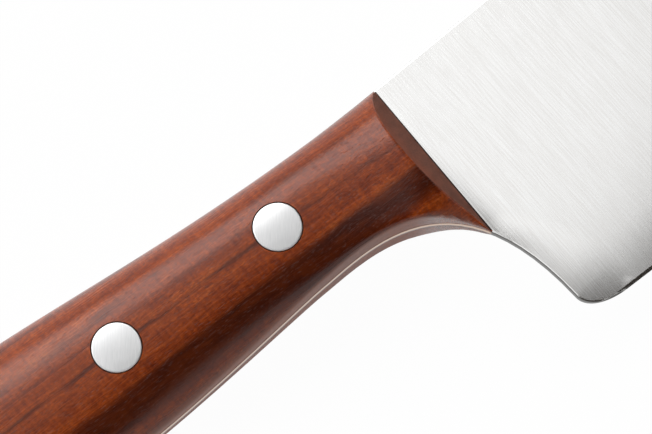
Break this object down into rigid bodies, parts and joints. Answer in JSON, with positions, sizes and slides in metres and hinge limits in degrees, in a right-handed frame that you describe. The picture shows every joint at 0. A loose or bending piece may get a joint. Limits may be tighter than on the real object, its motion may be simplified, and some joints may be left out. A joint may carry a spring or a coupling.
{
  "type": "nakiri knife",
  "caption": "Full-tang nakiri kitchen knife: a tall, nearly straight-edged satin steel blade with riveted wooden handle scales.",
  "frame": {"origin": "centre of the knife's footprint as it lies flat on its left face, at the lowest level of the left scale", "axes": "+X along the spine to the tip, +Y from the edge to the spine, +Z out of the right face of the blade"},
  "size_m": [0.2844, 0.0618, 0.0192],
  "materials": {
    "blade_steel": "satin, belt-finished across the blade",
    "handle_wood": "reddish-brown hardwood, oiled",
    "rivet_metal": "ground flush and polished"
  },
  "bodies": {
    "root": {"blade": "blade_steel", "scale_right": "handle_wood", "scale_left": "handle_wood", "rivet_front_sleeve": "rivet_metal", "rivet_front_pin": "rivet_metal", "rivet_middle_sleeve": "rivet_metal", "rivet_middle_pin": "rivet_metal", "rivet_rear_sleeve": "rivet_metal", "rivet_rear_pin": "rivet_metal"}
  },
  "joints": []
}
